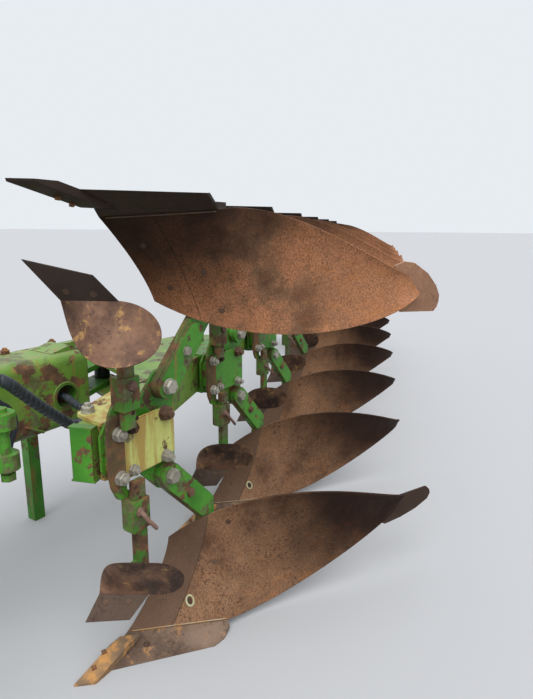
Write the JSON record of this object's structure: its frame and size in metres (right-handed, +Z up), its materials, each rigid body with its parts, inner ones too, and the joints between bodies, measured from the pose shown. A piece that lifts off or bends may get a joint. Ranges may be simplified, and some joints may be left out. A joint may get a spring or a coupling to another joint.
{
  "type": "mounted reversible mouldboard plough",
  "caption": "Reversible mounted plough: paired lower and upper mouldboard bodies on a raked box beam, skimmers, headstock that turns over, parking stand and depth wheel.",
  "frame": {"origin": "ground level, at the middle of the footprint", "axes": "+X forwards along the direction of travel, +Y to the left, +Z up"},
  "size_m": [6.728, 3.1407, 1.692],
  "materials": {
    "green_paint": "chipped green paint over rust",
    "faded_paint": "sun-faded yellow-green paint with rust runs",
    "rusty_board": "plain steel under thin brown surface rust",
    "worn_share": "worn steel with brown and orange rust",
    "bare_steel": "dull grey-brown steel",
    "black_steel": "black painted steel",
    "tyre": "dusty black rubber",
    "hose_rubber": "matt black"
  },
  "bodies": {
    "root": {"main_beam": "green_paint", "beam_caps": "green_paint", "front_frame": "green_paint", "hose_tube": "green_paint", "turnover_block": "green_paint", "turnover_shaft": "bare_steel", "pivot_plates": "green_paint", "pivot_pin": "black_steel", "pivot_tongue": "green_paint", "linkage_straps": "green_paint", "front_leg_plate": "faded_paint", "leg_plates": "green_paint", "front_beam_clamp": "faded_paint", "beam_clamps": "green_paint", "inner_cheeks": "green_paint", "legs_lower": "green_paint", "legs_upper": "green_paint", "leg_doublers": "green_paint", "frogs_lower": "green_paint", "frogs_upper": "green_paint", "landsides": "worn_share", "shins_lower": "rusty_board", "shins_upper": "rusty_board", "boards_lower": "rusty_board", "boards_upper": "rusty_board", "shares_lower": "worn_share", "shares_upper": "worn_share", "bar_points": "worn_share", "tail_pieces": "rusty_board", "skimmer_brackets": "green_paint", "skimmer_stalks": "green_paint", "skimmer_boards": "rusty_board", "skimmer_shares": "worn_share", "stand_sleeve": "green_paint", "wheel_bracket": "green_paint", "frame_cap": "green_paint", "width_link": "green_paint", "hoses": "hose_rubber", "hose_unions": "bare_steel"},
    "stand": {"stand_bar": "green_paint"},
    "wheel_arm": {"wheel_arm": "green_paint"},
    "wheel": {"wheel_rim": "green_paint", "wheel_tyre": "tyre"},
    "headstock": {"headstock_tower": "green_paint", "headstock_bearing": "green_paint", "link_cross_beam": "green_paint", "link_pins": "bare_steel", "top_link_ears": "green_paint"},
    "ram_barrel": {"ram_barrel": "green_paint"},
    "ram_rod": {"ram_rod": "bare_steel"}
  },
  "joints": [
    {"name": "turnover", "type": "hinge", "parent": "root", "child": "headstock", "pos_m": [3.094, 0.2116, 0.837], "axis": [1, 0, 0], "range_deg": [0, 180]},
    {"name": "ram_swing", "type": "hinge", "parent": "headstock", "child": "ram_barrel", "pos_m": [3.32, 0.2116, 1.127], "axis": [1, 0, 0], "range_deg": [-57.78, 0]},
    {"name": "ram_stroke", "type": "slide", "parent": "ram_barrel", "child": "ram_rod", "axis": [0, 0.4831, -0.8756], "range_m": [0, 0.12]},
    {"name": "stand_slide", "type": "slide", "parent": "root", "child": "stand", "axis": [0, 0, 1], "range_m": [0, 0.3]},
    {"name": "wheel_swing", "type": "hinge", "parent": "root", "child": "wheel_arm", "pos_m": [-1.966, -1.2656, 0.837], "axis": [0, 1, 0], "range_deg": [0, 61.5]},
    {"name": "wheel_spin", "type": "hinge", "parent": "wheel_arm", "child": "wheel", "pos_m": [-2.49883, -1.4756, 0.52], "axis": [0, 1, 0], "continuous": true}
  ],
  "couplings": [
    {"joint": "ram_swing", "follows": "turnover", "ratio": -0.32096}
  ]
}
